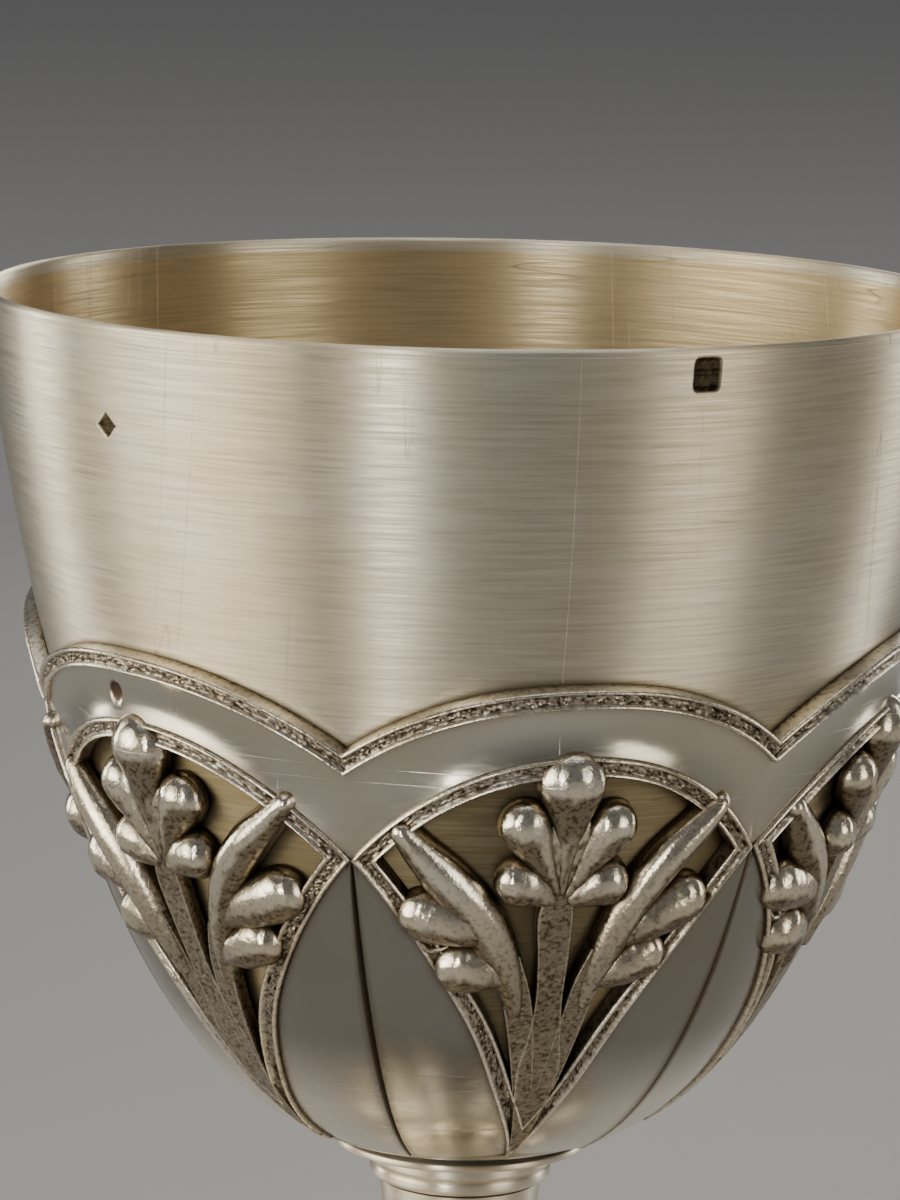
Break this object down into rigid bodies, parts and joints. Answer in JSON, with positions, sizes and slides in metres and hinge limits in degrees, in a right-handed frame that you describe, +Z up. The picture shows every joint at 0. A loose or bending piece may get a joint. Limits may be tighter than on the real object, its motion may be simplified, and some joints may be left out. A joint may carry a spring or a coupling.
{
  "type": "chalice",
  "caption": "Parcel-gilt silver chalice: a tapering cup in a scalloped, pierced calyx of flower sprays and petals, on a stem with a round knop and a domed foot.",
  "frame": {"origin": "centre of the foot's underside, on the surface that the chalice stands on", "axes": "+Z up along the axis of the cup and the stem; -Y faces the viewer of the calyx's front lobe"},
  "size_m": [0.138, 0.138, 0.2237],
  "materials": {
    "cup_silver": "satin, fine brushing round the cup",
    "calyx_silver": "cast and chased, polished on its heights and dark in its hollows",
    "stem_silver": "polished, lightly worn"
  },
  "bodies": {
    "root": {"cup": "cup_silver", "calyx": "calyx_silver", "collar": "stem_silver", "upper_stem": "stem_silver", "knop": "stem_silver", "lower_stem": "stem_silver", "foot": "stem_silver"}
  },
  "joints": []
}
